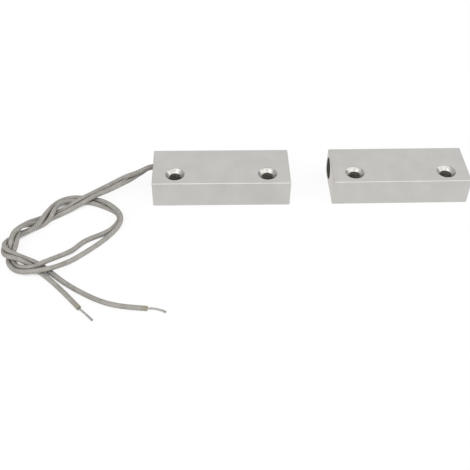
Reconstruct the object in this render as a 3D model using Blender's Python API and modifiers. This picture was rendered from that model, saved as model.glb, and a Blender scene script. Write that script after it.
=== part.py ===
"""Magnetic reed contact: a switch half with two free wires and the magnet half that works it.

Each half is a satin aluminium block with two countersunk screw holes along its front and a blind bore behind them.
The switch half's bore holds a reed capsule in an insulating liner, the magnet half's bore holds a bar magnet,
and black epoxy closes both mouths. Lengths are in metres. Inside a half, X runs along the block from its open
end, Y from its front face to its back face and Z up from its base.
"""
import math

import bmesh
import bpy
import numpy as np
from mathutils import Vector

MM = 0.001

# Aluminium blocks, alike in both halves
BLOCK_LENGTH = 50.0 * MM
BLOCK_WIDTH = 19.5 * MM
BLOCK_HEIGHT = 10.4 * MM
EDGE_ROUND = 0.35 * MM

# Countersunk screw holes, one near each end
SCREW_HOLE_RADIUS = 2.1 * MM
COUNTERSINK_RADIUS = 3.45 * MM
COUNTERSINK_HALF_ANGLE = math.radians(45.0)
SCREW_FROM_FRONT = 5.5 * MM
SCREW_FROM_END = 8.2 * MM

# Blind bore, drilled from the open end behind the screw holes
BORE_RADIUS = 4.0 * MM
BACK_WALL = 1.0 * MM
TOP_WALL = 1.2 * MM
END_WALL = 5.0 * MM
DRILL_POINT_HALF_ANGLE = math.radians(59.0)

# Epoxy that closes a bore
POTTING_DEPTH = 6.0 * MM
POTTING_RECESS = 0.25 * MM
POTTING_CROWN = 0.2 * MM

# Bar magnet
MAGNET_LENGTH = 30.0 * MM
MAGNET_EDGE = 0.4 * MM

# Gaps that neighbours keep: wide in the bores, fine between the small parts of the capsule
FIT_GAP = 0.3 * MM
FINE_GAP = 0.1 * MM

# Insulating liner in the switch bore
LINER_WALL = 0.5 * MM

# Reed capsule
GLASS_LENGTH = 14.0 * MM
GLASS_RADIUS = 1.15 * MM
GLASS_WALL = 0.3 * MM
SEAL_LENGTH = 2.0 * MM
SEAL_RADIUS = 0.65 * MM
SHOULDER_LENGTH = 1.2 * MM
REED_WIRE_RADIUS = 0.25 * MM
BLADE_WIDTH = 1.2 * MM
BLADE_THICKNESS = 0.22 * MM
BLADE_OVERLAP = 1.2 * MM
SWAGE_LENGTH = 1.4 * MM
CONTACT_GAP = 0.15 * MM

# Powers of a reed's superellipse sections: a circle where it is wire, square corners where it is a blade
ROUND_SECTION = 2.0
BLADE_SECTION = 6.0

# Leads, solder joints and shrink sleeves
WIRE_RADIUS = 0.85 * MM
CORE_RADIUS = 0.38 * MM
JOINT_LENGTH = 1.6 * MM
JOINT_RADIUS = 0.6 * MM
JOINT_END_RADIUS = 0.42 * MM
NEAR_CORE_LENGTH = 1.0 * MM
FAR_CORE_TAIL = 1.1 * MM
FAR_END_SPARE = 0.6 * MM
SLEEVE_WALL = 0.25 * MM
SLEEVE_CLEARANCE = 0.1 * MM
SLEEVE_GRIP = 1.0 * MM

# Where each wire leaves the bore, beside and above its axis
EXIT_1_ASIDE = 1.4 * MM
EXIT_1_LIFT = -0.1 * MM
EXIT_2_ASIDE = 0.2 * MM
EXIT_2_LIFT = 1.4 * MM

# How the two halves stand beside each other
PAIR_GAP = 15.55 * MM
MAGNET_SETBACK = 0.2 * MM
MAGNET_YAW = math.radians(0.4)

# Facets of round parts, steps along their profiles, and points of the tubes
BORE_STEPS = 64
FINE_STEPS = 32
LOFT_SIDES = 20
CROWN_STEPS = 6
SHOULDER_STEPS = 6
SWAGE_STEPS = 6
JOINT_STEPS = 8
LOOP_STEPS = 8
WIRE_POINTS = 78
LONG_LEAD_POINTS = 24
SHORT_LEAD_POINTS = 16
LOOP_CORE_POINTS = 24
NEAR_CORE_POINTS = 3
BARE_END_POINTS = 8
TURN_WEIGHT = 6.0 * MM
SPLINE_SAMPLES = 1600
MERGE_DISTANCE = 0.000001
CREASE_ANGLE = math.radians(40.0)
CUTTER_REACH = 2.0 * MM

# Places that follow from the sizes above
BORE_Y = BLOCK_WIDTH - BACK_WALL - BORE_RADIUS
BORE_Z = BLOCK_HEIGHT - TOP_WALL - BORE_RADIUS
SWITCH_BORE_DEPTH = BLOCK_LENGTH - END_WALL
MAGNET_BORE_DEPTH = POTTING_DEPTH + MAGNET_LENGTH + 2.0 * FIT_GAP
PLUG_RADIUS = BORE_RADIUS - FIT_GAP
LINER_START = POTTING_DEPTH + FIT_GAP
LINER_END = SWITCH_BORE_DEPTH - FIT_GAP
LINER_INNER_RADIUS = PLUG_RADIUS - LINER_WALL
SLEEVE_INNER_RADIUS = WIRE_RADIUS + SLEEVE_CLEARANCE
SLEEVE_RADIUS = SLEEVE_INNER_RADIUS + SLEEVE_WALL
CAPSULE_Z = BORE_Z - LINER_INNER_RADIUS + FIT_GAP + max(GLASS_RADIUS, SLEEVE_RADIUS)
RETURN_Z = CAPSULE_Z + max(GLASS_RADIUS, SLEEVE_RADIUS) + FIT_GAP + WIRE_RADIUS
TURN_RADIUS = (RETURN_Z - CAPSULE_Z) / 2.0
TURN_X = LINER_END - FAR_END_SPARE - TURN_RADIUS - CORE_RADIUS
FAR_JOINT = TURN_X - FAR_CORE_TAIL - FINE_GAP - JOINT_LENGTH

# The liner's length that the capsule, joints and sleeves leave free is shared by the near lead and the two reeds
CAPSULE_STACK = GLASS_LENGTH + 2.0 * (SLEEVE_GRIP + FIT_GAP)
NEAR_STACK = SLEEVE_GRIP + NEAR_CORE_LENGTH + 2.0 * FINE_GAP + JOINT_LENGTH
FREE_LENGTH = FAR_JOINT - LINER_START - NEAR_STACK - CAPSULE_STACK
NEAR_LEAD_END = LINER_START + SLEEVE_GRIP + FREE_LENGTH / 2.0
NEAR_JOINT = NEAR_LEAD_END + NEAR_CORE_LENGTH + 2.0 * FINE_GAP
CAPSULE_X = (NEAR_JOINT + JOINT_LENGTH + FAR_JOINT - GLASS_LENGTH) / 2.0
NEAR_SEAL = CAPSULE_X + SEAL_LENGTH
FAR_SEAL = CAPSULE_X + GLASS_LENGTH - SEAL_LENGTH
CAPSULE_CENTRE = CAPSULE_X + GLASS_LENGTH / 2.0
BLADE_LIFT = (CONTACT_GAP + BLADE_THICKNESS) / 2.0
EXIT_1 = (BORE_Y + EXIT_1_ASIDE, BORE_Z + EXIT_1_LIFT)
EXIT_2 = (BORE_Y + EXIT_2_ASIDE, BORE_Z + EXIT_2_LIFT)

# Routes of the free wires in millimetres, from the switch half's front bottom corner at its open end
WIRE_1_ROUTE = (
    (-1.6, 15.9, 5.0), (-3.2, 15.4, 4.6), (-4.6, 14.4, 4.1), (-6.0, 13.3, 3.9), (-8.1, 11.4, 3.6),
    (-10.6, 9.0, 3.7), (-14.0, 6.1, 3.8), (-21.0, 1.7, 3.3), (-24.5, -0.2, 2.4), (-34.7, -6.6, 0.9),
    (-40.8, -10.1, 1.6), (-42.6, -12.2, 2.8), (-44.1, -16.2, 5.5), (-46.4, -19.9, 5.6), (-47.2, -22.8, 3.5),
    (-47.6, -26.6, 1.1), (-47.1, -29.7, 1.0), (-42.7, -34.2, 1.7), (-32.4, -33.9, 2.8), (-28.1, -30.2, 1.4),
    (-25.1, -27.6, 1.0), (-16.1, -18.6, 0.9), (-11.6, -12.4, 1.6), (-11.3, -7.2, 2.8), (-18.4, 0.9, 2.0),
    (-21.3, 2.8, 1.1), (-28.9, 4.3, 0.9), (-34.6, 1.5, 1.3), (-38.2, -9.0, 3.3), (-40.5, -13.4, 2.5),
    (-46.4, -17.4, 2.3), (-48.9, -21.9, 3.7), (-48.8, -23.9, 4.2), (-47.0, -26.5, 4.2), (-38.9, -29.2, 1.5),
    (-33.9, -32.4, 0.9), (-28.1, -37.9, 0.9), (-21.7, -42.8, 0.9), (-14.8, -46.9, 0.9), (-8.2, -49.1, 0.9),
    (0.6, -50.3, 0.9),
)
WIRE_2_ROUTE = (
    (-1.5, 14.6, 6.5), (-3.9, 13.8, 5.9), (-6.7, 12.1, 5.6), (-10.6, 10.4, 5.2), (-18.0, 7.6, 2.8),
    (-24.7, 2.2, 2.9), (-28.1, 0.1, 2.2), (-31.5, -2.1, 1.1), (-35.0, -4.1, 0.9), (-43.7, -9.2, 1.2),
    (-45.2, -12.1, 2.3), (-45.6, -15.9, 3.9), (-45.3, -22.8, 3.3), (-45.9, -27.1, 1.9), (-44.5, -30.4, 1.3),
    (-42.4, -32.3, 1.9), (-38.5, -33.0, 2.6), (-35.8, -31.8, 3.0), (-28.6, -25.7, 1.4), (-25.6, -22.5, 0.9),
    (-22.8, -19.2, 0.9), (-15.6, -14.1, 0.9), (-11.9, -9.1, 0.9), (-12.7, -5.1, 0.9), (-21.7, 0.4, 0.9),
    (-28.4, 1.8, 1.0), (-30.8, 0.9, 1.5), (-33.0, -1.2, 2.4), (-35.0, -7.0, 2.8), (-37.7, -10.6, 1.4),
    (-46.3, -15.5, 0.9), (-49.6, -19.6, 0.9), (-50.0, -22.2, 1.2), (-48.3, -27.6, 3.0), (-43.6, -29.8, 3.2),
    (-38.9, -31.4, 1.3), (-34.1, -35.5, 0.9), (-28.7, -41.1, 0.9), (-21.2, -49.9, 0.9),
)
BARE_END_1_ROUTE = ((0.9, -50.3, 0.9), (2.2, -50.3, 0.85), (3.6, -50.5, 0.75), (5.0, -50.9, 0.6), (6.5, -51.6, 0.47))
BARE_END_2_ROUTE = ((-21.0, -50.2, 0.9), (-19.8, -51.3, 0.75), (-18.3, -52.8, 0.6), (-16.6, -54.6, 0.47))


def clear_scene():
    for obj in list(bpy.data.objects):
        bpy.data.objects.remove(obj, do_unlink=True)


def new_collection(name):
    collection = bpy.data.collections.new(name)
    bpy.context.scene.collection.children.link(collection)
    return collection


def finish(name, red, green, blue, metallic, roughness, alpha=1.0):
    """A Principled material in linear colour."""
    material = bpy.data.materials.new(name)
    material.use_nodes = True
    shader = material.node_tree.nodes["Principled BSDF"]
    shader.inputs["Base Color"].default_value = (red, green, blue, 1.0)
    shader.inputs["Metallic"].default_value = metallic
    shader.inputs["Roughness"].default_value = roughness
    shader.inputs["Alpha"].default_value = alpha
    return material


def empty(name, parent=None, location=(0.0, 0.0, 0.0), yaw=0.0):
    obj = bpy.data.objects.new(name, None)
    PARTS.objects.link(obj)
    obj.parent = parent
    obj.location = location
    obj.rotation_euler = (0.0, 0.0, yaw)
    return obj


def place(obj, parent, location=(0.0, 0.0, 0.0), material=None):
    obj.parent = parent
    obj.location = location
    if material:
        obj.data.materials.append(material)
    return obj


def mesh_object(name, mesh, collection):
    obj = bpy.data.objects.new(name, mesh)
    collection.objects.link(obj)
    if collection == CUTTERS:
        obj.hide_render = True
        obj.display_type = "WIRE"
    return obj


def turned(name, outline, steps, collection, along_x=True):
    """A turned solid from (radius, distance) points along its axis, the outer side running backwards.

    An outline that starts on the axis also ends there; any other one closes on itself and makes a ring.
    """
    count = len(outline)
    edges = [(i, i + 1) for i in range(count - 1)]
    if outline[0][0] > 0.0:
        edges.append((count - 1, 0))
    mesh = bpy.data.meshes.new(name)
    mesh.from_pydata([(radius, 0.0, distance) for radius, distance in outline], edges, [])
    obj = mesh_object(name, mesh, collection)
    screw = obj.modifiers.new("turn", "SCREW")
    screw.axis = "Z"
    screw.steps = steps
    screw.render_steps = steps
    screw.use_merge_vertices = True
    screw.merge_threshold = MERGE_DISTANCE
    obj.data = bpy.data.meshes.new_from_object(obj.evaluated_get(bpy.context.evaluated_depsgraph_get()))
    obj.modifiers.clear()
    bpy.data.meshes.remove(mesh)
    shade_round(obj.data)
    if along_x:
        obj.rotation_euler = (0.0, math.pi / 2.0, 0.0)
    return obj


def shade_round(mesh):
    """Smooth shading over curved faces, with the corners kept sharp."""
    mesh.shade_smooth()
    mesh.set_sharp_from_angle(angle=CREASE_ANGLE)


def ring(name, outer, inner, length, steps):
    """A tube with square ends, from its start along +X."""
    outline = ((outer, length), (outer, 0.0), (inner, 0.0), (inner, length))
    return turned(name, outline, steps, PARTS)


def cut(obj, cutter):
    boolean = obj.modifiers.new("cut " + cutter.name, "BOOLEAN")
    boolean.operation = "DIFFERENCE"
    boolean.solver = "EXACT"
    boolean.object = cutter


def spline_through(knots, samples):
    """Points along the natural cubic spline through a route's own points."""
    knots = np.array(knots)
    gaps = np.sqrt(np.linalg.norm(np.diff(knots, axis=0), axis=1))
    marks = np.concatenate(([0.0], np.cumsum(gaps)))
    count = len(marks)
    system = np.eye(count)
    pull = np.zeros_like(knots)
    for i in range(1, count - 1):
        system[i, i - 1:i + 2] = gaps[i - 1], 2.0 * (gaps[i - 1] + gaps[i]), gaps[i]
        pull[i] = 6.0 * ((knots[i + 1] - knots[i]) / gaps[i] - (knots[i] - knots[i - 1]) / gaps[i - 1])
    bend = np.linalg.solve(system, pull)
    at = np.linspace(0.0, marks[-1], samples)
    span = np.clip(np.searchsorted(marks, at, side="right") - 1, 0, count - 2)
    width = gaps[span][:, None]
    ahead = (marks[span + 1] - at)[:, None]
    behind = (at - marks[span])[:, None]
    curve = (bend[span] * ahead ** 3 + bend[span + 1] * behind ** 3) / (6.0 * width)
    curve += (knots[span] / width - bend[span] * width / 6.0) * ahead
    curve += (knots[span + 1] / width - bend[span + 1] * width / 6.0) * behind
    return curve


def thinned(path, count):
    """Fewer points of a fine path, close together where it turns and far apart where it runs straight."""
    steps = np.diff(path, axis=0)
    lengths = np.linalg.norm(steps, axis=1)
    headings = steps / lengths[:, None]
    turns = np.arccos(np.clip((headings[1:] * headings[:-1]).sum(axis=1), -1.0, 1.0))
    effort = lengths + TURN_WEIGHT * np.concatenate(([0.0], turns))
    reach = np.concatenate(([0.0], np.cumsum(effort)))
    at = np.linspace(0.0, reach[-1], count)
    return np.stack([np.interp(at, reach, path[:, axis]) for axis in range(3)], axis=1)


def tube(name, knots, radius, count, parent, material):
    """A round wire with filled ends along the smooth curve through its knots."""
    points = thinned(spline_through(knots, SPLINE_SAMPLES), count)
    curve = bpy.data.curves.new(name, "CURVE")
    curve.dimensions = "3D"
    curve.bevel_depth = radius
    curve.bevel_resolution = 2
    curve.use_fill_caps = True
    spline = curve.splines.new("POLY")
    spline.points.add(len(points) - 1)
    for target, point in zip(spline.points, points):
        target.co = (*point, 1.0)
    obj = bpy.data.objects.new(name, curve)
    PARTS.objects.link(obj)
    return place(obj, parent, material=material)


def block(name, bore_depth, parent):
    """An aluminium block with eased edges, two countersunk holes and a drilled blind bore."""
    size = Vector((BLOCK_LENGTH, BLOCK_WIDTH, BLOCK_HEIGHT))
    mesh = bpy.data.meshes.new(name)
    cube = bmesh.new()
    bmesh.ops.create_cube(cube, size=1.0)
    bmesh.ops.scale(cube, vec=size, verts=cube.verts)
    bmesh.ops.translate(cube, vec=size / 2.0, verts=cube.verts)
    cube.to_mesh(mesh)
    cube.free()
    obj = place(mesh_object(name, mesh, PARTS), parent, material=ALUMINIUM)
    bevel = obj.modifiers.new("eased edges", "BEVEL")
    bevel.width = EDGE_ROUND
    bevel.segments = 2
    for end, x in (("near", SCREW_FROM_END), ("far", BLOCK_LENGTH - SCREW_FROM_END)):
        hole = screw_hole_cutter(f"{name}_{end}_screw_hole")
        cut(obj, place(hole, parent, (x, SCREW_FROM_FRONT, 0.0)))
    bore = bore_cutter(f"{name}_bore", bore_depth)
    cut(obj, place(bore, parent, (0.0, BORE_Y, BORE_Z)))
    return obj


def screw_hole_cutter(name):
    """A shank hole with a cone that opens at the block's top face and runs on above it."""
    cone_depth = (COUNTERSINK_RADIUS - SCREW_HOLE_RADIUS) / math.tan(COUNTERSINK_HALF_ANGLE)
    above = COUNTERSINK_RADIUS + CUTTER_REACH * math.tan(COUNTERSINK_HALF_ANGLE)
    top = BLOCK_HEIGHT + CUTTER_REACH
    outline = (
        (0.0, top),
        (above, top),
        (SCREW_HOLE_RADIUS, BLOCK_HEIGHT - cone_depth),
        (SCREW_HOLE_RADIUS, -CUTTER_REACH),
        (0.0, -CUTTER_REACH),
    )
    return turned(name, outline, BORE_STEPS, CUTTERS, along_x=False)


def bore_cutter(name, depth):
    """A drilled bore: a straight wall and the cone that the drill's point leaves."""
    point = depth + BORE_RADIUS / math.tan(DRILL_POINT_HALF_ANGLE)
    outline = ((0.0, point), (BORE_RADIUS, depth), (BORE_RADIUS, -CUTTER_REACH), (0.0, -CUTTER_REACH))
    return turned(name, outline, BORE_STEPS, CUTTERS)


def potting(name, parent):
    """Epoxy that fills a bore's mouth, its face slightly crowned and just inside the end of the block."""
    shares = [k / CROWN_STEPS for k in range(CROWN_STEPS, -1, -1)]
    crown = [(PLUG_RADIUS * share, POTTING_RECESS - POTTING_CROWN * (1.0 - share ** 2)) for share in shares]
    outline = [(0.0, POTTING_DEPTH), (PLUG_RADIUS, POTTING_DEPTH)] + crown
    obj = turned(name, outline, BORE_STEPS, PARTS)
    return place(obj, parent, (0.0, BORE_Y, BORE_Z), EPOXY)


def pass_wires(plug, parent):
    """Opens the switch half's potting where the two leads run through it."""
    radius = WIRE_RADIUS + FIT_GAP
    for number, (y, z) in enumerate((EXIT_1, EXIT_2), start=1):
        length = POTTING_DEPTH + CUTTER_REACH
        outline = ((0.0, length), (radius, length), (radius, -CUTTER_REACH), (0.0, -CUTTER_REACH))
        passage = turned(f"lead_{number}_passage", outline, FINE_STEPS, CUTTERS)
        cut(plug, place(passage, parent, (0.0, y, z)))


def liner(parent):
    obj = ring("insulating_liner", PLUG_RADIUS, LINER_INNER_RADIUS, LINER_END - LINER_START, BORE_STEPS)
    return place(obj, parent, (LINER_START, BORE_Y, BORE_Z), NATURAL_PLASTIC)


def shoulder(inner, outer, start, length):
    """Quarter-ellipse points where the glass swells from its drawn-in neck to its full radius."""
    points = []
    for k in range(SHOULDER_STEPS + 1):
        angle = math.pi / 2.0 * k / SHOULDER_STEPS
        points.append((inner + (outer - inner) * math.sin(angle), start + length * (1.0 - math.cos(angle))))
    return points


def reed_glass(parent):
    """The capsule's envelope: a thin tube drawn in round both reeds at its ends."""
    hole = REED_WIRE_RADIUS + FINE_GAP
    inside = GLASS_RADIUS - GLASS_WALL
    neck = SEAL_LENGTH - SHOULDER_LENGTH
    outer_left = shoulder(SEAL_RADIUS, GLASS_RADIUS, neck, SHOULDER_LENGTH)
    inner_left = shoulder(hole, inside, SEAL_LENGTH, SHOULDER_LENGTH)
    outer = [(SEAL_RADIUS, 0.0)] + outer_left
    inner = [(hole, 0.0)] + inner_left
    mirrored_outer = [(r, GLASS_LENGTH - x) for r, x in outer]
    mirrored_inner = [(r, GLASS_LENGTH - x) for r, x in inner]
    outline = mirrored_outer + outer[::-1] + inner + mirrored_inner[::-1]
    obj = turned("reed_glass", outline, FINE_STEPS, PARTS)
    return place(obj, parent, (CAPSULE_X, BORE_Y, CAPSULE_Z), GLASS)


def section(x, half_width, half_thickness, lift, squareness):
    """One cross-section of a reed: a superellipse whose power is its squareness."""
    points = []
    for k in range(LOFT_SIDES):
        angle = 2.0 * math.pi * (k + 0.5) / LOFT_SIDES
        across, up = math.cos(angle), math.sin(angle)
        y = math.copysign(abs(across) ** (ROUND_SECTION / squareness), across) * half_width
        z = math.copysign(abs(up) ** (ROUND_SECTION / squareness), up) * half_thickness + lift
        points.append((x, y, z))
    return points


def reed(name, pivot_x, lead_length, facing, parent):
    """A reed: round wire outside its seal, swaged to a flat blade inside, with its origin at the seal.

    facing is 1.0 where the blade runs towards +X and -1.0 where it runs back. The blade of the first lies
    below the capsule's axis and that of the second above it, so that their faces overlap across the gap.
    """
    blade_end = abs(CAPSULE_CENTRE - pivot_x) + BLADE_OVERLAP / 2.0
    stations = [(-lead_length, 0.0), (0.0, 0.0)]
    stations += [(SWAGE_LENGTH * k / SWAGE_STEPS, k / SWAGE_STEPS) for k in range(1, SWAGE_STEPS + 1)]
    stations += [(blade_end, 1.0)]
    rows = []
    for x, swaged in stations:
        blend = swaged * swaged * (3.0 - 2.0 * swaged)
        half_width = REED_WIRE_RADIUS + (BLADE_WIDTH / 2.0 - REED_WIRE_RADIUS) * blend
        half_thickness = REED_WIRE_RADIUS + (BLADE_THICKNESS / 2.0 - REED_WIRE_RADIUS) * blend
        squareness = ROUND_SECTION + (BLADE_SECTION - ROUND_SECTION) * blend
        rows.append(section(x * facing, half_width, half_thickness, -facing * BLADE_LIFT * blend, squareness))
    return place(loft(name, rows), parent, (pivot_x, BORE_Y, CAPSULE_Z), NICKEL_IRON)


def loft(name, rows):
    """A closed solid through cross-sections that have the same number of points."""
    body = bmesh.new()
    rings = [[body.verts.new(point) for point in row] for row in rows]
    for row, following in zip(rings, rings[1:]):
        for k in range(LOFT_SIDES):
            after = (k + 1) % LOFT_SIDES
            body.faces.new((row[k], row[after], following[after], following[k]))
    body.faces.new(rings[0])
    body.faces.new(rings[-1])
    bmesh.ops.recalc_face_normals(body, faces=body.faces)
    mesh = bpy.data.meshes.new(name)
    body.to_mesh(mesh)
    body.free()
    shade_round(mesh)
    return mesh_object(name, mesh, PARTS)


def solder_joint(name, x, parent):
    """A drop of solder, thickest at its middle."""
    profile = []
    for k in range(JOINT_STEPS + 1):
        share = k / JOINT_STEPS
        radius = JOINT_END_RADIUS + (JOINT_RADIUS - JOINT_END_RADIUS) * math.sin(math.pi * share)
        profile.append((radius, JOINT_LENGTH * (1.0 - share)))
    outline = [(0.0, JOINT_LENGTH)] + profile + [(0.0, 0.0)]
    return place(turned(name, outline, FINE_STEPS, PARTS), parent, (x, BORE_Y, CAPSULE_Z), SOLDER)


def shrink_sleeve(name, start, end, parent):
    obj = ring(name, SLEEVE_RADIUS, SLEEVE_INNER_RADIUS, end - start, FINE_STEPS)
    return place(obj, parent, (start, BORE_Y, CAPSULE_Z), SHRINK_TUBE)


def inner_leads(parent):
    """The leads' insulated runs inside the block: one short, one along the capsule to its far end."""
    start = POTTING_RECESS
    short_run = (
        (start, *EXIT_1),
        (POTTING_DEPTH / 2.0, *EXIT_1),
        (POTTING_DEPTH, *EXIT_1),
        (NEAR_LEAD_END - 2.0 * SLEEVE_GRIP, BORE_Y, CAPSULE_Z),
        (NEAR_LEAD_END - SLEEVE_GRIP, BORE_Y, CAPSULE_Z),
        (NEAR_LEAD_END, BORE_Y, CAPSULE_Z),
    )
    long_run = (
        (start, *EXIT_2),
        (POTTING_DEPTH / 2.0, *EXIT_2),
        (POTTING_DEPTH, *EXIT_2),
        (NEAR_LEAD_END, BORE_Y, RETURN_Z),
        ((NEAR_LEAD_END + FAR_SEAL) / 2.0, BORE_Y, RETURN_Z),
        (FAR_SEAL, BORE_Y, RETURN_Z),
    )
    tube("inner_lead_1", short_run, WIRE_RADIUS, SHORT_LEAD_POINTS, parent, GREY_PVC)
    tube("inner_lead_2", long_run, WIRE_RADIUS, LONG_LEAD_POINTS, parent, GREY_PVC)


def inner_cores(parent):
    """The leads' stripped inner ends, which run to the solder joints."""
    near_start = NEAR_LEAD_END + FINE_GAP
    near = [(near_start + NEAR_CORE_LENGTH * share, BORE_Y, CAPSULE_Z) for share in (0.0, 0.5, 1.0)]
    middle_z = CAPSULE_Z + TURN_RADIUS
    far = [(FAR_SEAL + FINE_GAP, BORE_Y, RETURN_Z), ((FAR_SEAL + TURN_X) / 2.0, BORE_Y, RETURN_Z)]
    for k in range(LOOP_STEPS + 1):
        angle = math.pi * k / LOOP_STEPS
        far.append((TURN_X + TURN_RADIUS * math.sin(angle), BORE_Y, middle_z + TURN_RADIUS * math.cos(angle)))
    far.append((FAR_JOINT + JOINT_LENGTH + FINE_GAP, BORE_Y, CAPSULE_Z))
    tube("inner_core_1", near, CORE_RADIUS, NEAR_CORE_POINTS, parent, TINNED_COPPER)
    tube("inner_core_2", far, CORE_RADIUS, LOOP_CORE_POINTS, parent, TINNED_COPPER)


def reed_capsule(parent):
    reed_glass(parent)
    reed("reed_near", NEAR_SEAL, NEAR_SEAL - NEAR_JOINT - JOINT_LENGTH - FINE_GAP, 1.0, parent)
    reed("reed_far", FAR_SEAL, FAR_JOINT - FINE_GAP - FAR_SEAL, -1.0, parent)
    solder_joint("solder_near", NEAR_JOINT, parent)
    solder_joint("solder_far", FAR_JOINT, parent)
    shrink_sleeve("sleeve_near", NEAR_LEAD_END - SLEEVE_GRIP, NEAR_JOINT + JOINT_LENGTH + SLEEVE_GRIP, parent)
    shrink_sleeve("sleeve_far", FAR_JOINT - SLEEVE_GRIP, FAR_JOINT + JOINT_LENGTH + SLEEVE_GRIP, parent)


def free_wires(parent):
    """The two wires outside the block, from the potting to their stripped ends."""
    starts = ((-FIT_GAP, *EXIT_1), (-FIT_GAP, *EXIT_2))
    routes = (WIRE_1_ROUTE, WIRE_2_ROUTE)
    for number, (start, route) in enumerate(zip(starts, routes), start=1):
        knots = [start] + [tuple(value * MM for value in point) for point in route]
        tube(f"wire_{number}", knots, WIRE_RADIUS, WIRE_POINTS, parent, GREY_PVC)
    for number, route in enumerate((BARE_END_1_ROUTE, BARE_END_2_ROUTE), start=1):
        knots = [tuple(value * MM for value in point) for point in route]
        tube(f"bare_end_{number}", knots, CORE_RADIUS, BARE_END_POINTS, parent, TINNED_COPPER)


def bar_magnet(parent):
    """A round bar magnet with chamfered ends, behind the potting of its half."""
    radius = PLUG_RADIUS
    outline = (
        (0.0, MAGNET_LENGTH),
        (radius - MAGNET_EDGE, MAGNET_LENGTH),
        (radius, MAGNET_LENGTH - MAGNET_EDGE),
        (radius, MAGNET_EDGE),
        (radius - MAGNET_EDGE, 0.0),
        (0.0, 0.0),
    )
    obj = turned("bar_magnet", outline, BORE_STEPS, PARTS)
    return place(obj, parent, (POTTING_DEPTH + FIT_GAP, BORE_Y, BORE_Z), MAGNET_STEEL)


def pair_centre():
    """The middle of the floor area that the two blocks cover."""
    ahead = Vector((math.cos(MAGNET_YAW), math.sin(MAGNET_YAW)))
    aside = Vector((-math.sin(MAGNET_YAW), math.cos(MAGNET_YAW)))
    start = Vector((BLOCK_LENGTH + PAIR_GAP, MAGNET_SETBACK))
    corners = [Vector((0.0, 0.0)), Vector((BLOCK_LENGTH, BLOCK_WIDTH))]
    for along in (0.0, BLOCK_LENGTH):
        for across in (0.0, BLOCK_WIDTH):
            corners.append(start + ahead * along + aside * across)
    xs = [corner.x for corner in corners]
    ys = [corner.y for corner in corners]
    return (min(xs) + max(xs)) / 2.0, (min(ys) + max(ys)) / 2.0


clear_scene()
PARTS = new_collection("magnetic_reed_switch")
CUTTERS = new_collection("cutters")

ALUMINIUM = finish("satin aluminium", 0.54, 0.53, 0.51, 1.0, 0.42)
EPOXY = finish("black epoxy", 0.012, 0.012, 0.013, 0.0, 0.45)
NATURAL_PLASTIC = finish("natural nylon", 0.72, 0.70, 0.62, 0.0, 0.5)
GLASS = finish("green-tinted glass", 0.75, 0.85, 0.78, 0.0, 0.05, alpha=0.35)
NICKEL_IRON = finish("nickel iron", 0.50, 0.48, 0.44, 1.0, 0.3)
SOLDER = finish("tin solder", 0.60, 0.61, 0.62, 1.0, 0.3)
SHRINK_TUBE = finish("shrink tube", 0.02, 0.02, 0.02, 0.0, 0.55)
GREY_PVC = finish("grey wire insulation", 0.36, 0.34, 0.31, 0.0, 0.45)
TINNED_COPPER = finish("tinned copper", 0.55, 0.55, 0.54, 1.0, 0.35)
MAGNET_STEEL = finish("alnico", 0.40, 0.39, 0.37, 1.0, 0.5)

centre_x, centre_y = pair_centre()
SWITCH_HALF = empty("switch_half", location=(-centre_x, -centre_y, 0.0))
MAGNET_HALF = empty("magnet_half", SWITCH_HALF, (BLOCK_LENGTH + PAIR_GAP, MAGNET_SETBACK, 0.0), MAGNET_YAW)

block("switch_housing", SWITCH_BORE_DEPTH, SWITCH_HALF)
pass_wires(potting("switch_potting", SWITCH_HALF), SWITCH_HALF)
liner(SWITCH_HALF)
reed_capsule(SWITCH_HALF)
inner_leads(SWITCH_HALF)
inner_cores(SWITCH_HALF)
free_wires(SWITCH_HALF)

block("magnet_housing", MAGNET_BORE_DEPTH, MAGNET_HALF)
potting("magnet_potting", MAGNET_HALF)
bar_magnet(MAGNET_HALF)
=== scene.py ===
"""Looks of the magnetic reed contact: satin aluminium halves, poured epoxy, two grey wires and their bare ends.

Lengths are in metres. Places on a half are given from its front bottom corner at the open end of its bore, with X
along the block, Y from its front face to its back face and Z up from its base, as in the part's own source.
"""
import math

import bmesh
import bpy
import numpy as np
from mathutils import Matrix, Vector


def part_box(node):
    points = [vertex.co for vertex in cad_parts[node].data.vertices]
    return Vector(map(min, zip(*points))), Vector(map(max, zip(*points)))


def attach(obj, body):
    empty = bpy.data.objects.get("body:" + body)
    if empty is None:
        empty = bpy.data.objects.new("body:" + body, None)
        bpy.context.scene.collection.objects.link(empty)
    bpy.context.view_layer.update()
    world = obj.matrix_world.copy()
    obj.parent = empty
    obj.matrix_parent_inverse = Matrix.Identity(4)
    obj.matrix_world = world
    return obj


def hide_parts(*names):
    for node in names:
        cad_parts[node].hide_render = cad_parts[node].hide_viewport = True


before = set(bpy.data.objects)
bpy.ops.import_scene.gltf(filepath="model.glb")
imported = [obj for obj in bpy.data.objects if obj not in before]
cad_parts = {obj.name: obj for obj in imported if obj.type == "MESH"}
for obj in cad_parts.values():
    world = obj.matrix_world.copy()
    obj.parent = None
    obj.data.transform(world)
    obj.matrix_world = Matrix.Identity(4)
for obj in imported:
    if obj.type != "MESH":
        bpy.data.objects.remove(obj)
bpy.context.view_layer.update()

MM = 0.001

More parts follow.
